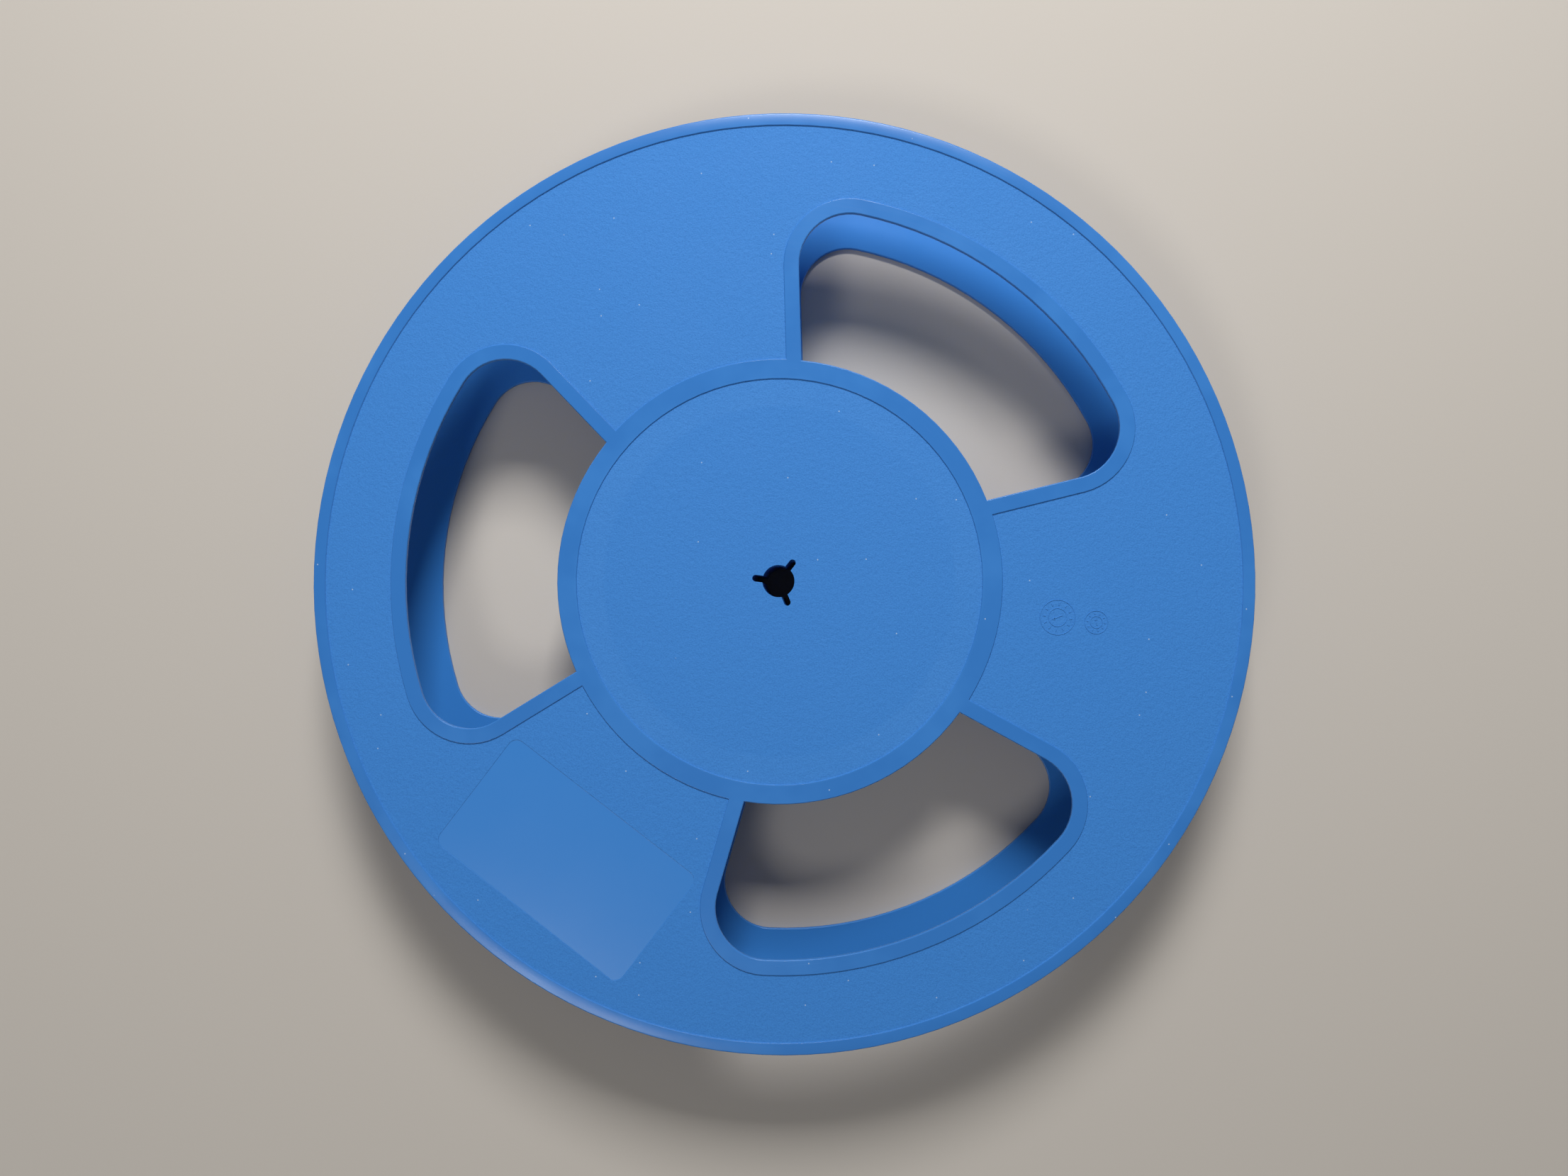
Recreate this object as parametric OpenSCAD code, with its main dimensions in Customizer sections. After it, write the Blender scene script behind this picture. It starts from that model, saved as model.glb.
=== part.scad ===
// Reel for wide carrier tape, clicked together from two halves of one mould.
// A half is a flange with three access windows, its half of the drum that the
// tape is wound on, its half of the arbor tube, and a ring of snap fingers that
// latch in the drum wall of the other half.
//
// Millimetres. The reel lies on z = 0 with the arbor hole along Z. Each half is
// drawn as the lower one, and the upper one is the same half turned over the X
// axis, so whatever stands at an angle here meets its partner at minus that angle.

/* [Tape] */
// Width of the carrier tape
tape_w = 44; // [32:4:72]
// Side play of the tape between the flanges
tape_play = 1; // [0.4:0.1:2]

/* [Flanges] */
// Diameter of the flanges
reel_d = 381; // [360:1:400]
// Thickness of a flange at its raised bands
flange_t = 2; // [1.6:0.1:3]
// Width of the raised band along the rim
rim_band_w = 4.8; // [3:0.1:8]
// Rounding of the rim's edges
rim_edge_r = 0.6; // [0.2:0.1:0.7]

/* [Windows] */
// Diameter of the circle that the windows reach out to
window_reach_d = 304.8; // [290:0.1:315]
// Angle that a window opens along the drum, in degrees
window_angle = 62.9; // [50:0.1:70]
// Lean of a window's sides out of the radial direction, in degrees
window_flare = 7.4; // [4:0.1:10]
// Radius of a window's two outer corners
window_corner_r = 20.5; // [10:0.5:26]
// Width of the raised band round a window
window_band_w = 6; // [3:0.1:8]
// Chamfer along a window's edges
window_chamfer = 0.3; // [0.1:0.05:0.5]

/* [Panels] */
// Depth of the grained panels below the raised bands
panel_depth = 0.25; // [0.1:0.05:0.5]
// Width of the slope between a band and a panel
slope_w = 0.25; // [0.1:0.05:0.5]
// Length of the label field, across its spoke
label_w = 94; // [60:1:96]
// Height of the label field, along its spoke
label_h = 54; // [30:1:56]
// Corner radius of the label field
label_corner_r = 4; // [1:0.5:10]
// Distance of the label field's middle from the axis
label_r = 142; // [135:1:145]
// Depth of the label field below its panel
label_depth = 0.1; // [0.05:0.05:0.3]

/* [Drum] */
// Diameter of the drum that the tape is wound on
drum_d = 180; // [160:1:190]
// Thickness of the drum wall
drum_wall = 2.4; // [2:0.1:3]
// Width of the raised band over the drum wall
drum_band_w = 7.7; // [5:0.1:12]
// Width of the slots that hold the start of the tape
tape_slot_w = 3; // [2.5:0.1:4]
// Depth of the tape slots, from the drum's outside
tape_slot_depth = 12; // [10:0.5:16]
// Gap between the tape slots' walls of the two halves
slot_wall_gap = 0.2; // [0.1:0.1:0.6]
// Thickness of the ribs and of the tape slots' walls
rib_t = 1.6; // [1.2:0.1:2.4]
// Height of the radial ribs above the flange
rib_h = 12; // [8:0.5:14]
// Height of the ring rib above the flange
ring_rib_h = 6; // [3:0.5:7]
// Diameter of the ring rib halfway along the radial ribs
ring_rib_d = 96; // [70:1:120]

/* [Arbor] */
// Diameter of the arbor hole
arbor_d = 13; // [12.8:0.1:14]
// Width of the three drive slots
drive_slot_w = 2.7; // [1.5:0.1:3]
// Diameter over the tips of the drive slots
drive_slot_d = 21.3; // [20.2:0.1:24]
// Wall of the arbor tube outside the drive slots
arbor_wall = 2.6; // [2:0.1:4]

/* [Snap joint] */
// Width of a snap finger
finger_w = 14; // [8:0.5:18]
// Thickness of a snap finger
finger_t = 2; // [1.4:0.1:2.6]
// Room for a finger to bend, between it and the drum wall
finger_room = 1.6; // [1.2:0.1:2.2]
// Depth of a latch below the parting plane of the half that it enters
latch_depth = 4; // [3:0.1:5]
// Reach of a latch into the drum wall
latch_bite = 1.5; // [0.8:0.1:1.8]
// Height of a latch, from its catching face to the finger's tip
latch_h = 6; // [4:0.1:6.5]
// Clearance between a latch and its window
latch_gap = 0.15; // [0.1:0.05:0.4]
// Height of the tongue that lines up the two drum walls
tongue_h = 1.5; // [1:0.1:2]
// Clearance round the tongue
tongue_gap = 0.1; // [0.05:0.05:0.2]

/* [Hidden] */

$fn = 120;
window_n = 3;                                // windows, spokes and drive slots
half_h = flange_t + (tape_w + tape_play) / 2; // outer face to parting plane
reel_h = 2 * half_h;
reel_r = reel_d / 2;
drum_r = drum_d / 2;
drum_in_r = drum_r - drum_wall;
tongue_r = drum_r - drum_wall / 2;           // middle of the wall's thickness
arbor_r = arbor_d / 2;
arbor_out_r = drive_slot_d / 2 + arbor_wall;
side_angle = window_angle / 2 + window_flare; // direction of a window's side
side_off = drum_r * sin(window_flare);       // distance of its line from the axis
window_r = window_reach_d / 2;
// Middle of the upper corner's rounding, seen with the window's middle on +X
corner_off = side_off + window_corner_r;
corner_run = sqrt(pow(window_r - window_corner_r, 2) - pow(corner_off, 2));
corner = [corner_run * cos(side_angle) + corner_off * sin(side_angle),
          corner_run * sin(side_angle) - corner_off * cos(side_angle)];
corner_angle = atan2(corner.y, corner.x);
label_angle = 120;                           // the spoke that carries the label field
finger_angles = [for (i = [0:5]) 20 + 60 * i];
finger_out_r = drum_in_r - finger_room;
latch_r = drum_in_r + latch_bite;
over = 1;                                    // how far a cut runs past a face
slope = slope_w / panel_depth;               // run of a panel's sloping side for its depth
far = reel_r + over;

// Copies the children to the middle of every window
module each_window() {
    for (i = [0:window_n - 1]) rotate([0, 0, (2 * i + 1) * 180 / window_n]) children();
}

// Copies the children to the middle of every spoke
module each_spoke() {
    for (i = [0:window_n - 1]) rotate([0, 0, i * 360 / window_n]) children();
}

// Block under a window's upper side plane, widened by grow_low and grow_high
module side_block(h, grow_low, grow_high) {
    rotate([0, 0, side_angle]) rotate([90, 0, 90]) linear_extrude(height = far)
        polygon([[-far, 0], [grow_low - side_off, 0], [grow_high - side_off, h], [-far, h]]);
}

// What the rounding of the upper corner takes away: the wedge between the ends of
// the rounding, less a cone that is widened by grow_low and grow_high
module corner_waste(h, grow_low, grow_high) {
    reach = 3 * window_corner_r;
    middle = (side_angle + 90 + corner_angle) / 2;
    lean = (grow_high - grow_low) / h * over;
    tall = h + 2 * over;
    translate([corner.x, corner.y, -over]) difference() {
        linear_extrude(height = tall)
            polygon([[0, 0],
                     reach * [cos(corner_angle), sin(corner_angle)],
                     2 * reach * [cos(middle), sin(middle)],
                     reach * [cos(side_angle + 90), sin(side_angle + 90)]]);
        cylinder(h = tall, r1 = window_corner_r + grow_low - lean,
                 r2 = window_corner_r + grow_high + lean);
    }
}

// Outline of a window as a solid of height h that also fills the drum. It stands
// outside the outline by grow_low at its foot and by grow_high at its top.
module window_form(h, grow_low, grow_high) {
    difference() {
        intersection() {
            cylinder(h = h, r1 = window_r + grow_low, r2 = window_r + grow_high);
            side_block(h, grow_low, grow_high);
            mirror([0, 1, 0]) side_block(h, grow_low, grow_high);
        }
        corner_waste(h, grow_low, grow_high);
        mirror([0, 1, 0]) corner_waste(h, grow_low, grow_high);
    }
}

// What a window removes from the flange: a straight hole chamfered at both faces,
// where each chamfer is drawn on past the face and on into the hole
module window_cut() {
    h = window_chamfer + 2 * over;
    wide = window_chamfer + over;
    translate([0, 0, -over]) {
        window_form(flange_t + 2 * over, 0, 0);
        window_form(h, wide, -over);
    }
    translate([0, 0, flange_t - window_chamfer - over]) window_form(h, -over, wide);
}

// Flange as a plain disc with a rounded rim
module flange_disc() {
    cylinder(h = flange_t, r = reel_r - rim_edge_r);
    translate([0, 0, rim_edge_r])
        cylinder(h = flange_t - 2 * rim_edge_r, r = reel_r);
    for (z = [rim_edge_r, flange_t - rim_edge_r])
        translate([0, 0, z]) rotate_extrude()
            translate([reel_r - rim_edge_r, 0]) circle(r = rim_edge_r, $fn = 16);
}

// Grained panels between the drum's band, the rim's band and the windows' bands,
// all with sloping sides that are drawn on past the flange's outer face
module panels() {
    r_in = drum_r;
    r_out = reel_r - rim_band_w;
    difference() {
        rotate_extrude()
            polygon([[r_in - slope * over, -over], [r_out + slope * over, -over],
                     [r_out - slope_w, panel_depth], [r_in + slope_w, panel_depth]]);
        each_window() translate([0, 0, -2 * over])
            window_form(panel_depth + 3 * over, window_band_w - 2 * slope * over,
                        window_band_w + slope_w + slope * over);
    }
}

// Shallow dish in the middle of the flange, inside the drum's band
module centre_panel() {
    dish_r = drum_r - drum_band_w;
    translate([0, 0, -over])
        cylinder(h = panel_depth + over, r1 = dish_r + slope * over, r2 = dish_r - slope_w);
}

// Smooth field for a label, a little below its grained panel
module label_field() {
    half = [label_h, label_w] / 2;
    rotate([0, 0, label_angle]) translate([label_r, 0, -over])
        linear_extrude(height = over + panel_depth + label_depth) {
            square([label_h - 2 * label_corner_r, label_w], center = true);
            square([label_h, label_w - 2 * label_corner_r], center = true);
            for (x = [-1, 1], y = [-1, 1])
                translate([x * (half.x - label_corner_r), y * (half.y - label_corner_r)])
                    circle(r = label_corner_r, $fn = 32);
        }
}

// Arbor hole with its drive slots, one towards the middle of each window
module arbor_cut() {
    translate([0, 0, -over]) {
        cylinder(h = half_h + 2 * over, r = arbor_r, $fn = 64);
        each_window() linear_extrude(height = half_h + 2 * over) {
            tip = (drive_slot_d - drive_slot_w) / 2;
            translate([0, -drive_slot_w / 2]) square([tip, drive_slot_w]);
            translate([tip, 0]) circle(d = drive_slot_w, $fn = 24);
        }
    }
}

// One pie slice of the drum's wall, from angle a to angle b, r_in to r_out
module wall_sector(a, b, r_in, r_out, z, h) {
    middle = (a + b) / 2;
    translate([0, 0, z]) linear_extrude(height = h) intersection() {
        difference() {
            circle(r = r_out);
            circle(r = r_in);
        }
        polygon([[0, 0], 2 * r_out * [cos(a), sin(a)],
                 3 * r_out * [cos(middle), sin(middle)], 2 * r_out * [cos(b), sin(b)]]);
    }
}

// Drum half as a plain cup, its outer edge chamfered like the windows
module drum_cup() {
    rotate_extrude()
        polygon([[0, 0], [drum_r - window_chamfer, 0], [drum_r, window_chamfer],
                 [drum_r, half_h], [drum_in_r, half_h], [drum_in_r, flange_t], [0, flange_t]]);
}

// Tongues on the drum wall, one from every spoke to the next tape slot
module tongues() {
    sector = 180 / window_n;
    spare = asin((2 * rib_t + tape_slot_w) / drum_in_r); // keeps off the tape slots' walls
    for (i = [0:window_n - 1])
        wall_sector(2 * i * sector + spare, (2 * i + 1) * sector - spare,
                    drum_in_r + tongue_gap, tongue_r - tongue_gap / 2,
                    half_h - over, over + tongue_h - tongue_gap);
}

// Rebates for the other half's tongues
module tongue_rebates() {
    sector = 180 / window_n;
    for (i = [0:window_n - 1])
        wall_sector((2 * i + 1) * sector, (2 * i + 2) * sector,
                    drum_in_r - over / 2, tongue_r + tongue_gap / 2,
                    half_h - tongue_h, tongue_h + over);
}

// Walls of a tape slot, a pocket that runs in from the drum's outside
module slot_walls() {
    depth = tape_slot_depth + rib_t;
    translate([drum_r - drum_wall / 2 - depth, -tape_slot_w / 2 - rib_t, flange_t / 2])
        cube([depth, tape_slot_w + 2 * rib_t, half_h - slot_wall_gap / 2 - flange_t / 2]);
}

// Opening of a tape slot through the drum wall
module slot_cut() {
    translate([drum_r - tape_slot_depth, -tape_slot_w / 2, flange_t])
        cube([tape_slot_depth + over, tape_slot_w, half_h]);
}

// Rib from the arbor tube out to radius r_end
module radial_rib(r_end) {
    translate([(arbor_r + arbor_out_r) / 2, -rib_t / 2, flange_t / 2])
        cube([r_end - (arbor_r + arbor_out_r) / 2, rib_t, rib_h + flange_t / 2]);
}

// Ribs that stiffen the middle of the flange
module ribs() {
    each_spoke() radial_rib(drum_r - drum_wall / 2);
    each_window() radial_rib(drum_r - tape_slot_depth - rib_t / 2);
    translate([0, 0, flange_t / 2]) linear_extrude(height = ring_rib_h + flange_t / 2)
        difference() {
            circle(d = ring_rib_d + rib_t);
            circle(d = ring_rib_d - rib_t);
        }
}

// Snap finger on +X: a straight blade whose outward latch catches in the other half
module snap_finger() {
    catch_z = half_h + latch_depth;
    rotate([90, 0, 0]) linear_extrude(height = finger_w, center = true)
        polygon([[finger_out_r - finger_t, flange_t / 2],
                 [finger_out_r, flange_t / 2],
                 [finger_out_r, catch_z],
                 [latch_r, catch_z],
                 [latch_r, catch_z + latch_h / 4],
                 [finger_out_r - finger_t / 4, catch_z + latch_h],
                 [finger_out_r - finger_t, catch_z + latch_h]]);
}

// Window in the drum wall for a latch of the other half, placed on +X
module latch_window() {
    w = finger_w + 2 * latch_gap;
    h = latch_h + 2 * latch_gap;
    translate([finger_out_r, -w / 2, half_h - latch_depth - latch_h - latch_gap])
        cube([drum_wall + finger_room + over, w, h]);
}

// One moulded half, drawn as the lower one
module half() {
    difference() {
        union() {
            difference() {
                flange_disc();
                each_window() window_cut();
            }
            drum_cup();
            tongues();
            each_window() slot_walls();
            ribs();
            cylinder(h = half_h, r = arbor_out_r, $fn = 64);
        }
        each_window() slot_cut();
        panels();
        centre_panel();
        label_field();
        arbor_cut();
        tongue_rebates();
        for (a = finger_angles) rotate([0, 0, -a]) latch_window();
    }
    for (a = finger_angles) rotate([0, 0, a]) snap_finger();
}

module lower_half() {
    color([0.22, 0.45, 0.75]) half();
}

module upper_half() {
    color([0.25, 0.5, 0.8]) translate([0, 0, reel_h]) rotate([180, 0, 0]) half();
}

upper_half();
lower_half();
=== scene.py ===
"""Looks of a large moulded reel for surface-mount carrier tape.

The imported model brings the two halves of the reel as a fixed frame. This script lets
their panels down to the full depth, gives them their plastic, adds the moulder's date
dials, and sets up the floor, the lamps and the camera. Lengths are in metres, and in
millimetres where a name ends in _mm.
"""

import logging
import math
from dataclasses import dataclass, field
from enum import Enum
from typing import Any, Mapping, Union

import bmesh
import bpy
from mathutils import Matrix, Vector


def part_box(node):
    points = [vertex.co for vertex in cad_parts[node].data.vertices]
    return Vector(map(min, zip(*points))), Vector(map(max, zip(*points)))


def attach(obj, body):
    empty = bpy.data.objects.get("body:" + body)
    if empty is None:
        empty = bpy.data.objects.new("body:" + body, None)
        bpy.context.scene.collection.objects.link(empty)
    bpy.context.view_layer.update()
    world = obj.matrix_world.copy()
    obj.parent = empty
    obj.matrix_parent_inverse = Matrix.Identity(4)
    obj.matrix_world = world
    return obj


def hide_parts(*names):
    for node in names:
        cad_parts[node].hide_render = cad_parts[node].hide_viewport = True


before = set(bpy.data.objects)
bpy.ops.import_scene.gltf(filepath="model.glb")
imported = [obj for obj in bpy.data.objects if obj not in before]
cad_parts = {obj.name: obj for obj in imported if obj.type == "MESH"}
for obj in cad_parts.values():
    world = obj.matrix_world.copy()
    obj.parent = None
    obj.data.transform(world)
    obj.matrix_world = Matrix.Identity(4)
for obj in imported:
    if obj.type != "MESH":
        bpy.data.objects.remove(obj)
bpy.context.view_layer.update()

log = logging.getLogger("reel")

BODY = "root"
MM = 0.001


class Half(Enum):
    """The two halves of the reel, by the names of their nodes."""

    UPPER = "upper_half"
    LOWER = "lower_half"

    @property
    def slot(self) -> str:
        """The record's material slot of this half."""
        return {"upper_half": "upper_moulding", "lower_half": "lower_moulding"}[self.value]

    @property
    def face_z(self) -> float:
        """Height of the half's outer face."""
        low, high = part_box(self.value)
        return high.z if self is Half.UPPER else low.z


# --------------------------------------------------------------------------- shading


class Signal:
    """A shader socket that takes part in Python expressions."""

    def __init__(self, graph: "Graph", socket: bpy.types.NodeSocket) -> None:
        """Wraps one output socket.

        Args:
            graph: The node graph that the socket belongs to.
            socket: The output socket.
        """
        self.graph = graph
        self.socket = socket

    def _math(self, operation: str, *operands: "Value") -> "Signal":
        """Adds a Math node.

        Args:
            operation: The node's operation.
            operands: Its inputs in order.

        Returns:
            The node's result.
        """
        return self.graph.add("ShaderNodeMath", {"operation": operation}, dict(enumerate(operands)))

    def __add__(self, other: "Value") -> "Signal":
        """self + other."""
        return self._math("ADD", self, other)

    def __radd__(self, other: "Value") -> "Signal":
        """other + self."""
        return self._math("ADD", other, self)

    def __sub__(self, other: "Value") -> "Signal":
        """self - other."""
        return self._math("SUBTRACT", self, other)

    def __rsub__(self, other: "Value") -> "Signal":
        """other - self."""
        return self._math("SUBTRACT", other, self)

    def __mul__(self, other: "Value") -> "Signal":
        """self * other."""
        return self._math("MULTIPLY", self, other)

    def __rmul__(self, other: "Value") -> "Signal":
        """other * self."""
        return self._math("MULTIPLY", other, self)

    def __truediv__(self, other: "Value") -> "Signal":
        """self / other."""
        return self._math("DIVIDE", self, other)

    def __pow__(self, other: "Value") -> "Signal":
        """self ** other."""
        return self._math("POWER", self, other)

    def __abs__(self) -> "Signal":
        """abs(self)."""
        return self._math("ABSOLUTE", self)

    def at_least(self, other: "Value") -> "Signal":
        """The larger of self and other."""
        return self._math("MAXIMUM", self, other)

    def swing(self, reach: float) -> "Signal":
        """Goes up from 0 to reach and back down again, over and over."""
        return self._math("PINGPONG", self, reach)

    def bearing(self, across: "Signal") -> "Signal":
        """Angle in radians of the point (across, self)."""
        return self._math("ARCTAN2", self, across)

    def rise(self, start: float, end: float) -> "Signal":
        """0 up to start, 1 from end on, and smooth between them.

        Args:
            start: Where it leaves 0.
            end: Where it reaches 1.

        Returns:
            The smooth step.
        """
        return self.graph.add(
            "ShaderNodeMapRange",
            {"interpolation_type": "SMOOTHSTEP", "clamp": True},
            {"Value": self, "From Min": start, "From Max": end},
        )

    def between(self, low: float, high: float, soft: float) -> "Signal":
        """1 between low and high, 0 outside, with soft shoulders.

        Args:
            low: Middle of the lower shoulder.
            high: Middle of the upper shoulder.
            soft: Width of each shoulder.

        Returns:
            The mask.
        """
        half = soft / 2
        return self.rise(low - half, low + half) * (1 - self.rise(high - half, high + half))

    def bump_at(self, middle: float, width: float) -> "Signal":
        """A smooth hump of height 1 and the given half width."""
        return 1 - abs(self - middle).rise(0.0, width)


Value = Union[Signal, float, int, tuple]


class Graph:
    """Node graph of one material or of the world."""

    def __init__(self, owner: Union[bpy.types.Material, bpy.types.World]) -> None:
        """Empties the owner's node tree.

        Args:
            owner: The material or world whose nodes are built.
        """
        owner.use_nodes = True
        self.tree = owner.node_tree
        self.tree.nodes.clear()

    def node(
        self,
        kind: str,
        settings: Mapping[str, Any] | None = None,
        inputs: Mapping[Union[str, int], Value] | None = None,
    ) -> bpy.types.Node:
        """Adds a node, sets it up and feeds it.

        Args:
            kind: The node's type.
            settings: Its properties, set before the inputs.
            inputs: Values or signals by the socket's name or number.

        Returns:
            The node.
        """
        made = self.tree.nodes.new(kind)
        for key, value in (settings or {}).items():
            setattr(made, key, value)
        for key, value in (inputs or {}).items():
            if isinstance(value, Signal):
                self.tree.links.new(value.socket, made.inputs[key])
            else:
                made.inputs[key].default_value = value
        return made

    def add(
        self,
        kind: str,
        settings: Mapping[str, Any] | None = None,
        inputs: Mapping[Union[str, int], Value] | None = None,
        output: Union[str, int] = 0,
    ) -> Signal:
        """Adds a node as node() does and returns one of its outputs as a signal."""
        return Signal(self, self.node(kind, settings, inputs).outputs[output])

    def blend(self, amount: Value, first: Value, second: Value) -> Signal:
        """Mixes two colours.

        Args:
            amount: 0 for the first, 1 for the second.
            first: The colour at 0.
            second: The colour at 1.

        Returns:
            The mixed colour.
        """
        return self.add(
            "ShaderNodeMix", {"data_type": "RGBA", "clamp_factor": True}, {0: amount, 6: first, 7: second}, 2
        )

    def noise(self, place: Signal, scale: float, detail: float = 2.0, roughness: float = 0.5) -> Signal:
        """Adds a noise texture.

        Args:
            place: Where it is read.
            scale: Lumps per unit of place.
            detail: How many finer layers it has.
            roughness: How strong the finer layers are.

        Returns:
            The noise, about 0.5.
        """
        return self.add(
            "ShaderNodeTexNoise",
            {"noise_dimensions": "3D"},
            {"Vector": place, "Scale": scale, "Detail": detail, "Roughness": roughness},
            "Fac",
        )

    def vector(self, x: Value, y: Value, z: Value = 0.0) -> Signal:
        """Joins three numbers to a vector."""
        return self.add("ShaderNodeCombineXYZ", None, {0: x, 1: y, 2: z})


def rgba(red: float, green: float, blue: float) -> tuple[float, float, float, float]:
    """A linear colour with full alpha."""
    return (red, green, blue, 1.0)


@dataclass(frozen=True)
class Plastic:
    """Blue polystyrene as it comes from the mould, and a little handled since.

    The mould gave each level of the flange its own skin. Bands stand highest and are
    satin, panels lie half a millimetre lower and have a spark-eroded grain, and
    the label field lies lowest and is polished.

    Attributes:
        colour: Colour of the pigment.
        rubbed: Colour where handling has burnished it.
        pit_shade: Colour down in the grain's pits, the pigment darkened as painted shade.
        smooth: Colour of the raised bands, the pigment darkened as painted shade for the sheen that the grain
            catches and the bands don't.
        dust: Colour of specks that lie on it.
        band_roughness: Roughness of the bands and of the inner faces.
        panel_roughness: Roughness of the grained panels.
        field_roughness: Roughness of the label field.
        panel_depth_mm: How far the finished panels lie below the bands.
        field_depth_mm: How far the finished label field lies below the bands.
        gloss: Strength of its mirror, as the shader's specular level.
        edge_radius: Radius to which the mould softened every edge.
        grain_mm: Size of one pit of the grain.
        grain_height: Depth of the pits.
        lump_mm: Size of the grain's coarser lumps.
        lump_height: Height of the coarser lumps.
        crown_height: How far the rim's band falls off towards its two sides.
        refraction: Index of refraction.
        pit_shade_share: How far the pits take on their painted shade.
        cloud_mm: Size of the skin's slow unevenness.
        cloud_height: Height of that unevenness.
        cloud_roughness: Change of roughness that goes with it.
        streak_roughness: Change of roughness along the streaks of the bands.
        ripple_mm: Size of the ripples in the label field.
        ripple_height: Height of the ripples.
        sink_depth: Depth of the sinks in the drum's band.
        slot_sink: Share of that depth at the tape slots.
        sink_degrees: Half widths of the sinks at tape slots and at windows' corners.
        patch_mm: Size of the rubbed patches.
        ring_rub: Least rubbing of the dish's ring, and what a patch adds to it.
        band_rub: Rubbing of the bands in a patch.
        speck_mm: Spacing of the places where a speck may lie.
        speck_free: Share of those places that stay clean.
        speck_cover: How well a speck covers the plastic.
        speck_roughness: How much rougher a speck is.
    """

    colour: tuple[float, float, float, float] = rgba(0.041, 0.214, 0.592)
    rubbed: tuple[float, float, float, float] = rgba(0.066, 0.258, 0.650)
    # Painted shade: the pits' colour is the pigment darkened as if shadow lay in them.
    pit_shade: tuple[float, float, float, float] = rgba(0.020, 0.130, 0.420)
    # Painted shade: the bands' colour is the pigment darkened for the sheen that only the grain catches.
    smooth: tuple[float, float, float, float] = rgba(0.034, 0.178, 0.515)
    dust: tuple[float, float, float, float] = rgba(0.42, 0.55, 0.72)
    band_roughness: float = 0.24
    panel_roughness: float = 0.70
    field_roughness: float = 0.25
    panel_depth_mm: float = 0.50
    field_depth_mm: float = 0.60
    gloss: float = 0.25
    edge_radius: float = 0.3 * MM
    grain_mm: float = 0.6
    grain_height: float = 0.130 * MM
    lump_mm: float = 1.7
    lump_height: float = 0.150 * MM
    crown_height: float = 0.05 * MM
    refraction: float = 1.55
    pit_shade_share: float = 0.34
    cloud_mm: float = 28.0
    cloud_height: float = 0.05 * MM
    cloud_roughness: float = 0.10
    streak_roughness: float = 0.12
    ripple_mm: float = 9.0
    ripple_height: float = 0.012 * MM
    sink_depth: float = 0.035 * MM
    slot_sink: float = 0.7
    sink_degrees: tuple[float, float] = (3.0, 6.0)
    patch_mm: float = 40.0
    ring_rub: tuple[float, float] = (0.12, 0.16)
    band_rub: float = 0.22
    speck_mm: float = 17.0
    speck_free: float = 0.80
    speck_cover: float = 0.7
    speck_roughness: float = 0.3

    def material(self, name: str, face_z: float, sizes: "FlangeSizes") -> bpy.types.Material:
        """Makes the plastic of one half.

        Args:
            name: The material's name.
            face_z: Height of the half's outer face, from which depths are taken.
            sizes: Radii and angles of the flange's parts.

        Returns:
            The material.
        """
        made = bpy.data.materials.new(name)
        g = Graph(made)
        place = g.add("ShaderNodeTexCoord", output="Object")
        apart = g.node("ShaderNodeSeparateXYZ", inputs={0: place})
        x, y, z = (Signal(g, socket) for socket in apart.outputs)
        radius = g.add("ShaderNodeVectorMath", {"operation": "LENGTH"}, {0: g.vector(x, y)}, "Value") / MM
        degrees = y.bearing(x) * (180 / math.pi)
        depth = abs(z - face_z) / MM

        step = self.field_depth_mm - self.panel_depth_mm
        panel = depth.between(0.6 * self.panel_depth_mm, self.panel_depth_mm + step / 2, step / 2)
        polished = depth.between(self.panel_depth_mm + step / 2, self.field_depth_mm + step, step / 2)
        band = 1 - depth.rise(0.2 * self.panel_depth_mm, 0.8 * self.panel_depth_mm)

        grain = g.noise(place, 1 / (self.grain_mm * MM), 2.0, 0.6)
        lumps = g.noise(place, 1 / (self.lump_mm * MM), 1.0, 0.5)
        cloud = g.noise(place, 1 / (self.cloud_mm * MM), 3.0, 0.55)
        streak = g.noise(g.vector(radius * 1.6, degrees * 0.12), 1.0, 3.0, 0.6)
        ripple = g.noise(place, 1 / (self.ripple_mm * MM), 2.0)
        marks = self._marks(g, radius, degrees, sizes)

        rub = self._rub(g, place, radius, band, sizes)
        # Painted shade: the bands take a darker copy of the pigment, standing in for the sheen that only the grain
        # catches.
        colour = g.blend(band * (1 - rub), self.colour, self.smooth)
        colour = g.blend(rub, colour, self.rubbed)
        # Painted shade: the grain's pits are darkened as if shadow lay in them.
        colour = g.blend(panel * (1 - grain.rise(0.32, 0.62)) * self.pit_shade_share, colour, self.pit_shade)
        speck = self._specks(g, place) * (1 - depth.rise(0.5, 0.6))
        colour = g.blend(speck, colour, self.dust)

        roughness = (
            self.band_roughness
            + panel * (self.panel_roughness - self.band_roughness)
            + polished * (self.field_roughness - self.band_roughness)
            + (cloud - 0.5) * self.cloud_roughness
            + band * (streak - 0.5) * self.streak_roughness
            + speck * self.speck_roughness
        )
        height = (
            panel * ((grain - 0.5) * self.grain_height + (lumps - 0.5) * self.lump_height)
            - band * self._crown(radius, sizes)
            - marks * self.sink_depth
            + (cloud - 0.5) * self.cloud_height
            + polished * (ripple - 0.5) * self.ripple_height
        )
        soft_edges = g.add("ShaderNodeBevel", {"samples": 8}, {"Radius": self.edge_radius})
        normal = g.add(
            "ShaderNodeBump", None, {"Strength": 1.0, "Distance": 1.0, "Height": height, "Normal": soft_edges}
        )
        shader = g.add(
            "ShaderNodeBsdfPrincipled",
            None,
            {
                "Base Color": colour,
                "Roughness": roughness,
                "Normal": normal,
                "IOR": self.refraction,
                "Specular IOR Level": self.gloss,
            },
        )
        g.node("ShaderNodeOutputMaterial", None, {"Surface": shader})
        return made

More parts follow.
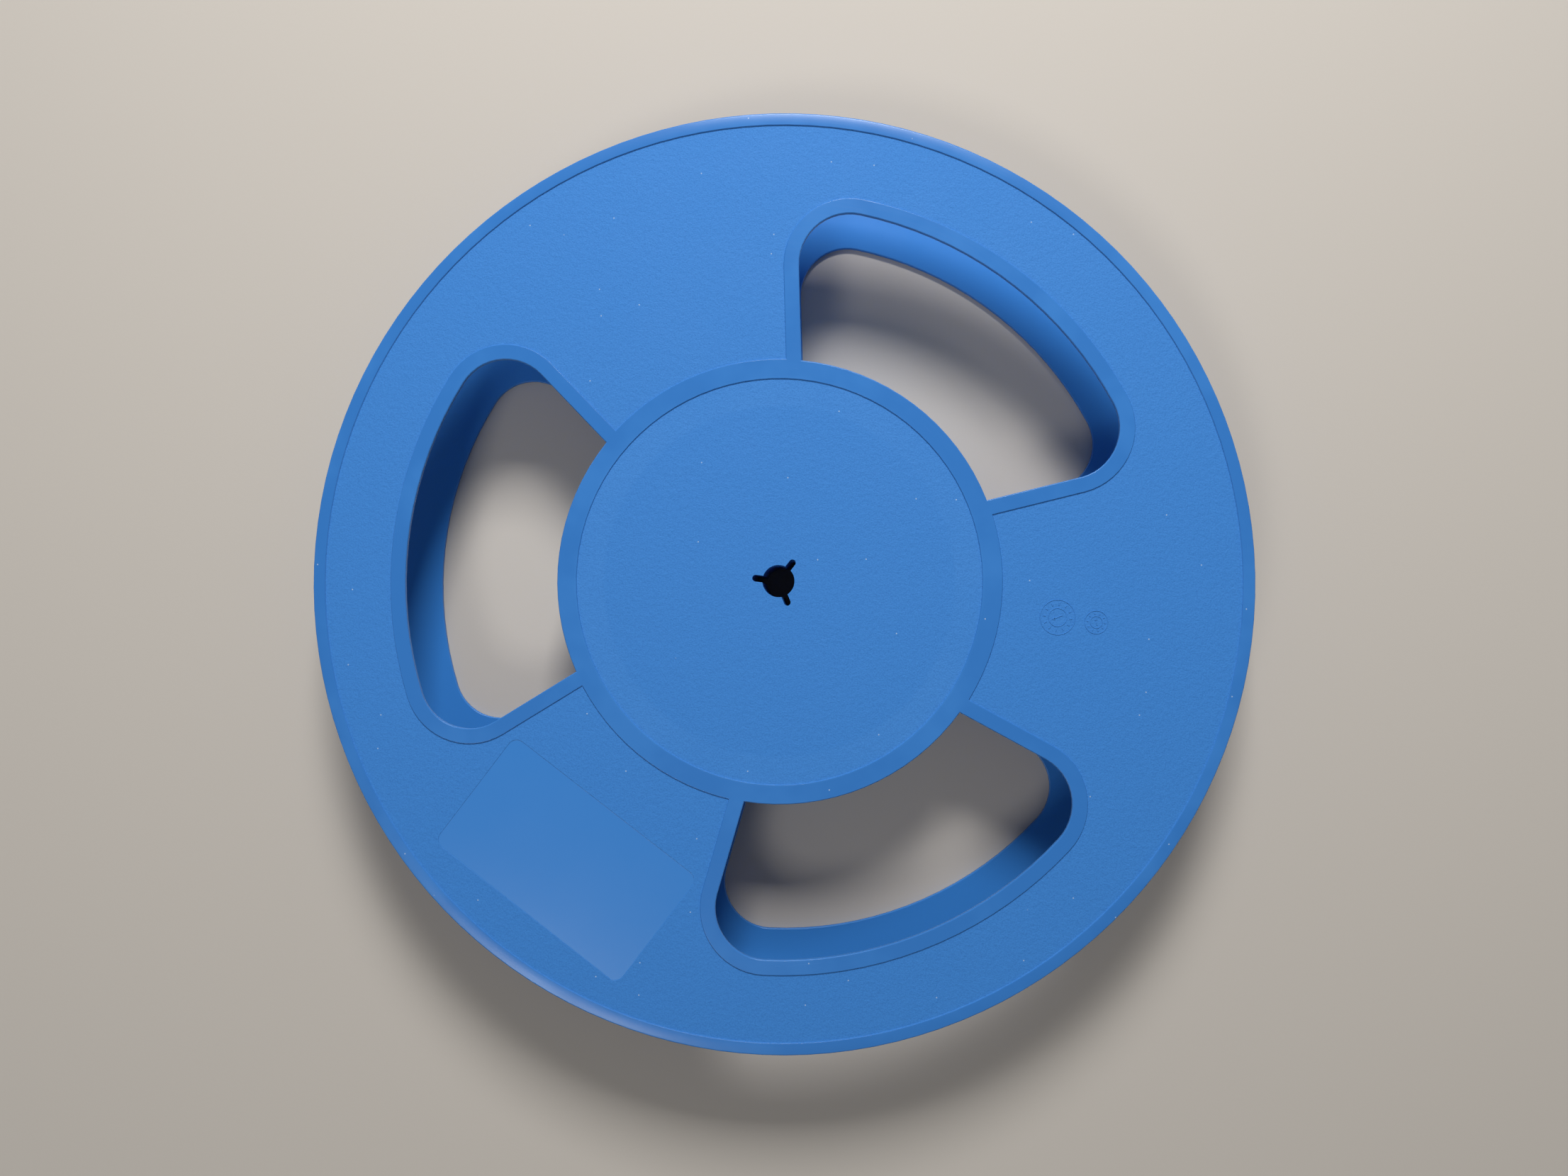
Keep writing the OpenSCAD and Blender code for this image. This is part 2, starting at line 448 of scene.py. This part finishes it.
    def _crown(self, radius: Signal, sizes: "FlangeSizes") -> Signal:
        """How far the rounded rim band lies below its own crest.

        Args:
            radius: Distance from the axis, in millimetres.
            sizes: Radii and angles of the flange's parts.

        Returns:
            The fall, 0 on the crest and inside the rim's band.
        """
        off_crest = abs(radius - sizes.rim_crest_mm) / sizes.rim_half_mm
        on_rim = radius.rise(sizes.rim_crest_mm - 4, sizes.rim_crest_mm - 3)
        return off_crest**2 * self.crown_height * on_rim

    def _marks(self, g: Graph, radius: Signal, degrees: Signal, sizes: "FlangeSizes") -> Signal:
        """Shallow sinks in the drum's band, at the tape slots and at the windows' corners.

        Args:
            g: The graph.
            radius: Distance from the axis, in millimetres.
            degrees: Bearing round the axis.
            sizes: Radii and angles of the flange's parts.

        Returns:
            1 in the middle of a sink.
        """
        on_band = radius.between(sizes.dish_mm + 1, sizes.drum_mm - 0.5, 3.0)
        spacing = 360 / sizes.windows
        off_middle = (degrees + 360 - spacing / 2).swing(spacing / 2)
        slot_reach, corner_reach = self.sink_degrees
        at_slot = off_middle.bump_at(0.0, slot_reach)
        at_corner = off_middle.bump_at(sizes.window_half_angle, corner_reach)
        return on_band * (at_slot * self.slot_sink + at_corner)

    def _rub(self, g: Graph, place: Signal, radius: Signal, band: Signal, sizes: "FlangeSizes") -> Signal:
        """How far handling and stacking have burnished the plastic.

        Args:
            g: The graph.
            place: Object coordinates.
            radius: Distance from the axis, in millimetres.
            band: 1 on the raised bands.
            sizes: Radii and angles of the flange's parts.

        Returns:
            0 where the skin is fresh.
        """
        patch = g.noise(place, 1 / (self.patch_mm * MM), 3.0, 0.6).rise(0.42, 0.68)
        ring = radius.between(sizes.ring_mm, sizes.dish_mm, 2.5)
        least, more = self.ring_rub
        return ring * (least + patch * more) + band * patch * self.band_rub

    def _specks(self, g: Graph, place: Signal) -> Signal:
        """Sparse specks of dust.

        Args:
            g: The graph.
            place: Object coordinates.

        Returns:
            1 on a speck.
        """
        cells = g.node(
            "ShaderNodeTexVoronoi",
            {"voronoi_dimensions": "2D"},
            {"Vector": place, "Scale": 1 / (self.speck_mm * MM)},
        )
        near = 1 - Signal(g, cells.outputs["Distance"]).rise(0.010, 0.022)
        hue = g.node("ShaderNodeSeparateColor", inputs={0: Signal(g, cells.outputs["Color"])})
        dusty = Signal(g, hue.outputs[0]).rise(self.speck_free, self.speck_free + 0.02)
        return near * dusty * self.speck_cover


@dataclass(frozen=True)
class Paper:
    """Matt pale backdrop paper for the floor.

    Attributes:
        colour: Its colour.
        roughness: Its roughness.
        fibre_mm: Size of its fibres.
        fibre_height: Height of its fibres.
        gloss: Strength of its mirror, as the shader's specular level.
    """

    colour: tuple[float, float, float, float] = rgba(0.54, 0.50, 0.45)
    roughness: float = 0.9
    fibre_mm: float = 1.5
    fibre_height: float = 0.02 * MM
    gloss: float = 0.2

    def material(self, name: str) -> bpy.types.Material:
        """Makes the paper.

        Args:
            name: The material's name.

        Returns:
            The material.
        """
        made = bpy.data.materials.new(name)
        g = Graph(made)
        place = g.add("ShaderNodeTexCoord", output="Object")
        fibre = g.noise(place, 1 / (self.fibre_mm * MM), 3.0, 0.6) * self.fibre_height
        normal = g.add("ShaderNodeBump", None, {"Distance": 1.0, "Height": fibre})
        shader = g.add(
            "ShaderNodeBsdfPrincipled",
            None,
            {
                "Base Color": self.colour,
                "Roughness": self.roughness,
                "Normal": normal,
                "Specular IOR Level": self.gloss,
            },
        )
        g.node("ShaderNodeOutputMaterial", None, {"Surface": shader})
        return made


# --------------------------------------------------------------------------- the reel


@dataclass(frozen=True)
class FlangeSizes:
    """Places on a flange that its finish follows.

    Attributes:
        windows: Number of windows, of spokes and of tape slots.
        window_half_angle: Bearing of a window's inner corner from its middle.
        drum_mm: Radius of the drum.
        dish_mm: Radius of the grained dish inside the drum's band.
        ring_mm: Radius at which the rubbed ring of the dish begins.
        rim_crest_mm: Radius of the crest of the rim's band.
        rim_half_mm: Half the width of the rim's band.
    """

    windows: int = 3
    window_half_angle: float = 31.45
    drum_mm: float = 90.0
    dish_mm: float = 82.3
    ring_mm: float = 71.0
    rim_crest_mm: float = 188.1
    rim_half_mm: float = 2.4


def _piece(name: str, bm: bmesh.types.BMesh, finish: bpy.types.Material) -> bpy.types.Object:
    """Turns a finished mesh into a piece of the reel.

    Args:
        name: The piece's name.
        bm: Its mesh, which is freed.
        finish: Its plastic.

    Returns:
        The piece.
    """
    mesh = bpy.data.meshes.new(name)
    bm.to_mesh(mesh)
    bm.free()
    mesh.materials.append(finish)
    made = bpy.data.objects.new(name, mesh)
    bpy.context.scene.collection.objects.link(made)
    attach(made, BODY)
    return made


@dataclass
class DateDial:
    """Moulder's date dial: a raised ring with twelve ticks round an arrow.

    Attributes:
        name: The piece's name.
        centre_x: Distance of its middle from the reel's axis.
        radius: Radius of its ring.
        relief: How far it stands out of the panel.
        root: How far it reaches into the panel.
        line: Width of its lines.
        ticks: Number of ticks.
        arrow_tick: The tick that the arrow points to.
        top_share: Width of the rings' tops, as a share of their feet's.
        soft_share: Width of the bars' softened edges, as a share of the relief.
        inner_ring: Radius of the inner ring, in radii of the outer one.
        tick_span: Where a tick starts and ends, in the same radii.
        shaft_span: Where the arrow's shaft starts and ends, in the same radii.
        head_place: Where the arrow's head is, in the same radii.
        head_width: Size of the head's foot, in widths of a line.
        head_taper: Size of the head's top, as a share of its foot's.
    """

    name: str
    centre_x: float
    radius: float
    relief: float = 0.14 * MM
    root: float = 0.10 * MM
    line: float = 0.55 * MM
    ticks: int = 12
    arrow_tick: int = 7
    top_share: float = 0.6
    soft_share: float = 0.6
    inner_ring: float = 0.52
    tick_span: tuple[float, float] = (0.68, 0.84)
    shaft_span: tuple[float, float] = (-0.30, 0.22)
    head_place: float = 0.24
    head_width: float = 1.9
    head_taper: float = 0.8

    def _ring(self, bm: bmesh.types.BMesh, radius: float) -> None:
        """Spins a low ridge round the dial's axis.

        Args:
            bm: The mesh that takes it.
            radius: Radius of the ridge's middle line.
        """
        foot = self.line / 2
        top = foot * self.top_share
        corners = [(-foot, -self.root), (foot, -self.root), (top, self.relief), (-top, self.relief)]
        points = [bm.verts.new((radius + out, 0.0, up)) for out, up in corners]
        edges = [bm.edges.new((points[i - 1], points[i])) for i in range(len(points))]
        bmesh.ops.spin(
            bm, geom=points + edges, cent=(0, 0, 0), axis=(0, 0, 1), angle=2 * math.pi, steps=72,
            use_merge=True,
        )

    def _bar(self, bm: bmesh.types.BMesh, start: float, end: float, turn: float) -> None:
        """Adds a straight ridge with a softened top.

        Args:
            bm: The mesh that takes it.
            start: Distance of its inner end from the dial's middle.
            end: Distance of its outer end.
            turn: Its bearing, in radians.
        """
        made = bmesh.ops.create_cube(bm, size=1.0)["verts"]
        size = Vector((end - start, self.line, self.relief + self.root))
        middle = Vector(((start + end) / 2, 0.0, (self.relief - self.root) / 2))
        bmesh.ops.scale(bm, vec=size, verts=made)
        bmesh.ops.translate(bm, vec=middle, verts=made)
        top = [e for e in {e for v in made for e in v.link_edges} if min(v.co.z for v in e.verts) > 0]
        made = {v for e in top for v in e.verts} | set(made)
        bmesh.ops.rotate(bm, cent=(0, 0, 0), matrix=Matrix.Rotation(turn, 3, "Z"), verts=list(made))
        bmesh.ops.bevel(
            bm, geom=top, offset=self.relief * self.soft_share, segments=2, profile=0.5, affect="EDGES", material=-1
        )

    def _head(self, bm: bmesh.types.BMesh, reach: float, turn: float) -> None:
        """Adds the arrow's three-cornered head.

        Args:
            bm: The mesh that takes it.
            reach: Distance of its middle from the dial's middle.
            turn: Its bearing, in radians.
        """
        size = self.line * self.head_width
        made = bmesh.ops.create_cone(
            bm,
            cap_ends=True,
            segments=3,
            radius1=size,
            radius2=size * self.head_taper,
            depth=self.relief + self.root,
        )["verts"]
        across = Matrix.Rotation(-math.pi / 2, 3, "Z")
        bmesh.ops.rotate(bm, cent=(0, 0, 0), matrix=across, verts=made)
        bmesh.ops.translate(bm, vec=(reach, 0.0, (self.relief - self.root) / 2), verts=made)
        bmesh.ops.rotate(bm, cent=(0, 0, 0), matrix=Matrix.Rotation(turn, 3, "Z"), verts=made)

    def build(self, half: Half, floor_depth: float, finish: bpy.types.Material) -> bpy.types.Object:
        """Builds the dial on one half's panel.

        Args:
            half: The half that carries it.
            floor_depth: Depth of the panel below the half's outer face.
            finish: The half's plastic.

        Returns:
            The dial.
        """
        bm = bmesh.new()
        self._ring(bm, self.radius)
        self._ring(bm, self.radius * self.inner_ring)
        step = 2 * math.pi / self.ticks
        for i in range(self.ticks):
            self._bar(bm, *(self.radius * share for share in self.tick_span), i * step)
        aim = self.arrow_tick * step
        self._bar(bm, *(self.radius * share for share in self.shaft_span), aim)
        self._head(bm, self.radius * self.head_place, aim)
        out = 1 if half is Half.UPPER else -1
        seat = Vector((self.centre_x, 0.0, half.face_z - out * floor_depth))
        turn = Matrix.Identity(4) if half is Half.UPPER else Matrix.Rotation(math.pi, 4, "X")
        bmesh.ops.transform(bm, matrix=Matrix.Translation(seat) @ turn, verts=bm.verts)
        bmesh.ops.recalc_face_normals(bm, faces=bm.faces)
        return _piece(self.name, bm, finish)


@dataclass
class Reel:
    """Both halves of the reel with their finish and their date dials.

    Attributes:
        plastic: The finish of both halves.
        sizes: Places on a flange that the finish follows.
        month_x: Distance of the month dial from the axis.
        month_radius: Radius of the month dial.
        year_x: Distance of the year dial from the axis.
        year_radius: Radius of the year dial.
        level_depths_mm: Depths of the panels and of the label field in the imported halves.
        level_play_mm: How far off such a depth a corner may lie.
        weld: Distance within which the corners of faces are welded.
        soft_angle: Angle in degrees up to which two faces are shaded as one curve.
    """

    plastic: Plastic = field(default_factory=Plastic)
    sizes: FlangeSizes = field(default_factory=FlangeSizes)
    month_x: float = 113.0 * MM
    month_radius: float = 7.0 * MM
    year_x: float = 128.5 * MM
    year_radius: float = 4.6 * MM
    level_depths_mm: tuple[float, float] = (0.25, 0.35)
    level_play_mm: float = 0.004
    weld: float = 0.0005 * MM
    soft_angle: float = 8.0

    def build(self) -> None:
        """Dresses both halves and adds their dials."""
        for half in Half:
            finish = self.plastic.material(half.slot, half.face_z, self.sizes)
            self._mould(half, finish)
            self._dials(half, finish)

    def _mould(self, half: Half, finish: bpy.types.Material) -> None:
        """Moulds the visible half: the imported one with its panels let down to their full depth.

        Args:
            half: The half to make.
            finish: Its plastic.
        """
        bm = bmesh.new()
        bm.from_mesh(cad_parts[half.value].data)
        bmesh.ops.remove_doubles(bm, verts=bm.verts, dist=self.weld)
        finished = (self.plastic.panel_depth_mm, self.plastic.field_depth_mm)
        levels = {depth: [] for depth in self.level_depths_mm}
        face_z = half.face_z
        for vert in bm.verts:
            depth = abs(face_z - vert.co.z) / MM
            for level, verts in levels.items():
                if abs(depth - level) < self.level_play_mm:
                    verts.append(vert)
        for (level, verts), goal in zip(levels.items(), finished):
            drop = (goal - level) * MM * (-1 if half is Half.UPPER else 1)
            bmesh.ops.translate(bm, vec=(0, 0, drop), verts=verts)
        for face in bm.faces:
            face.smooth = True
        for edge in bm.edges:
            edge.smooth = edge.calc_face_angle(math.pi) < math.radians(self.soft_angle)
        made = _piece(f"{half.value}_moulding", bm, finish)
        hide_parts(half.value)
        log.info("%s: %d and %d corners let down", made.name, *(len(verts) for verts in levels.values()))

    def _dials(self, half: Half, finish: bpy.types.Material) -> None:
        """Adds a half's month dial and year dial.

        Args:
            half: The half that carries them.
            finish: Its plastic.
        """
        depth = self.plastic.panel_depth_mm * MM
        side = half.name.lower()
        month = DateDial(f"month_dial_{side}", self.month_x, self.month_radius)
        year = DateDial(
            f"year_dial_{side}", self.year_x, self.year_radius, line=0.45 * MM, ticks=10, arrow_tick=3
        )
        for dial in (month, year):
            made = dial.build(half, depth, finish)
            log.info("%s: %d faces", made.name, len(made.data.polygons))


# --------------------------------------------------------------------------- the studio


@dataclass
class SoftLamp:
    """A square soft box that looks at the reel.

    Attributes:
        name: Its name.
        bearing: Its bearing from the reel, in degrees.
        elevation: Its height above the horizon, in degrees.
        distance: Its distance from the reel.
        width: Its width.
        level: How brightly it alone shows a white face that looks straight up.
        colour: Its colour.
    """

    name: str
    bearing: float
    elevation: float
    distance: float
    width: float
    level: float
    colour: tuple[float, float, float] = (1.0, 1.0, 1.0)

    def build(self, target: Vector) -> bpy.types.Object:
        """Hangs the lamp.

        Args:
            target: The point that it looks at.

        Returns:
            The lamp.
        """
        turn, rise = math.radians(self.bearing), math.radians(self.elevation)
        away = Vector((math.cos(turn) * math.cos(rise), math.sin(turn) * math.cos(rise), math.sin(rise)))
        data = bpy.data.lights.new(self.name, "AREA")
        data.shape = "SQUARE"
        data.size = self.width
        data.color = self.colour
        data.energy = self.level * (math.pi * self.distance) ** 2 / math.sin(rise)
        made = bpy.data.objects.new(self.name, data)
        made.location = target + away * self.distance
        made.rotation_euler = away.to_track_quat("Z", "Y").to_euler()
        bpy.context.scene.collection.objects.link(made)
        log.info("%s: %.1f W", self.name, data.energy)
        return made


@dataclass
class Studio:
    """Floor, world, lamps and camera.

    Attributes:
        paper: Finish of the floor.
        floor_radius: Radius of the floor.
        floor_gap: How far the floor lies below the reel.
        ambient: Brightness overhead, as it lights things.
        horizon: Brightness at the horizon, as it lights things.
        ceiling: Brightness overhead, as it is mirrored.
        backdrop: Brightness at the horizon, as it is seen and mirrored.
        haze: How far up the horizon's brightness starts and stops giving way.
        lamps: The soft boxes, the main one first.
        camera_place: Where the camera stands.
        camera_turn: How it is turned, in degrees about X, Y and Z.
        focal_mm: Its focal length.
        sensor_mm: Width of its sensor.
    """

    paper: Paper = field(default_factory=Paper)
    floor_radius: float = 12.0
    floor_gap: float = 0.1 * MM
    ambient: float = 0.14
    horizon: float = 0.22
    ceiling: float = 0.20
    backdrop: float = 1.0
    haze: tuple[float, float] = (0.15, 0.5)
    lamps: tuple[SoftLamp, ...] = (
        SoftLamp("key_lamp", 94.0, 43.0, 1.3, 0.40, 0.71),
        SoftLamp("fill_lamp", 245.0, 56.0, 2.0, 0.50, 0.15),
    )
    camera_place: tuple[float, float, float] = (0.01896, -0.00853, 0.5241)
    camera_turn: tuple[float, float, float] = (0.98, 1.86, 7.39)
    focal_mm: float = 27.03
    sensor_mm: float = 36.0

    def build(self) -> None:
        """Builds the whole studio."""
        self._floor()
        self._world()
        for lamp in self.lamps:
            lamp.build(Vector((0.0, 0.0, Half.UPPER.face_z)))
        self._camera()
        bpy.context.scene.view_settings.view_transform = "Standard"

    def _floor(self) -> None:
        """Lays the floor just below the reel."""
        bm = bmesh.new()
        bmesh.ops.create_circle(bm, cap_ends=True, segments=96, radius=self.floor_radius)
        bmesh.ops.translate(bm, vec=(0, 0, Half.LOWER.face_z - self.floor_gap), verts=bm.verts)
        mesh = bpy.data.meshes.new("floor")
        bm.to_mesh(mesh)
        bm.free()
        mesh.materials.append(self.paper.material("floor_paper"))
        floor = bpy.data.objects.new("floor", mesh)
        bpy.context.scene.collection.objects.link(floor)
        log.info("floor: radius %.1f m", self.floor_radius)

    def _world(self) -> None:
        """Makes the dim, even light of the room in front of a white backdrop."""
        world = bpy.data.worlds.new("room")
        bpy.context.scene.world = world
        g = Graph(world)
        way = g.add("ShaderNodeTexCoord", output="Object")
        apart = g.node("ShaderNodeSeparateXYZ", inputs={0: way})
        up = Signal(g, apart.outputs[2]).rise(*self.haze)
        rays = g.node("ShaderNodeLightPath")
        camera, glossy, through = (
            Signal(g, rays.outputs[name]) for name in ("Is Camera Ray", "Is Glossy Ray", "Is Transmission Ray")
        )
        seen = camera.at_least(glossy).at_least(through)
        shed = self.horizon + up * (self.ambient - self.horizon)
        shown = self.backdrop + up * (self.ceiling - self.backdrop)
        level = shed + seen * (shown - shed)
        shader = g.add("ShaderNodeBackground", None, {"Color": rgba(1, 1, 1), "Strength": level})
        g.node("ShaderNodeOutputWorld", None, {"Surface": shader})

    def _camera(self) -> None:
        """Sets the camera nearly straight above the reel."""
        data = bpy.data.cameras.new("camera")
        data.sensor_width = self.sensor_mm
        data.lens = self.focal_mm
        data.clip_start = 0.01
        camera = bpy.data.objects.new("camera", data)
        camera.location = self.camera_place
        tilt = (Matrix.Rotation(math.radians(angle), 3, axis) for angle, axis in zip(self.camera_turn, "XYZ"))
        about_x, about_y, about_z = tilt
        camera.rotation_euler = (about_z @ about_y @ about_x).to_euler()
        bpy.context.scene.collection.objects.link(camera)
        bpy.context.scene.camera = camera


def main() -> None:
    """Builds the reel and then the studio."""
    logging.basicConfig(level=logging.INFO, format="%(name)s: %(message)s")
    Reel().build()
    Studio().build()


if __name__ == "__main__":
    main()
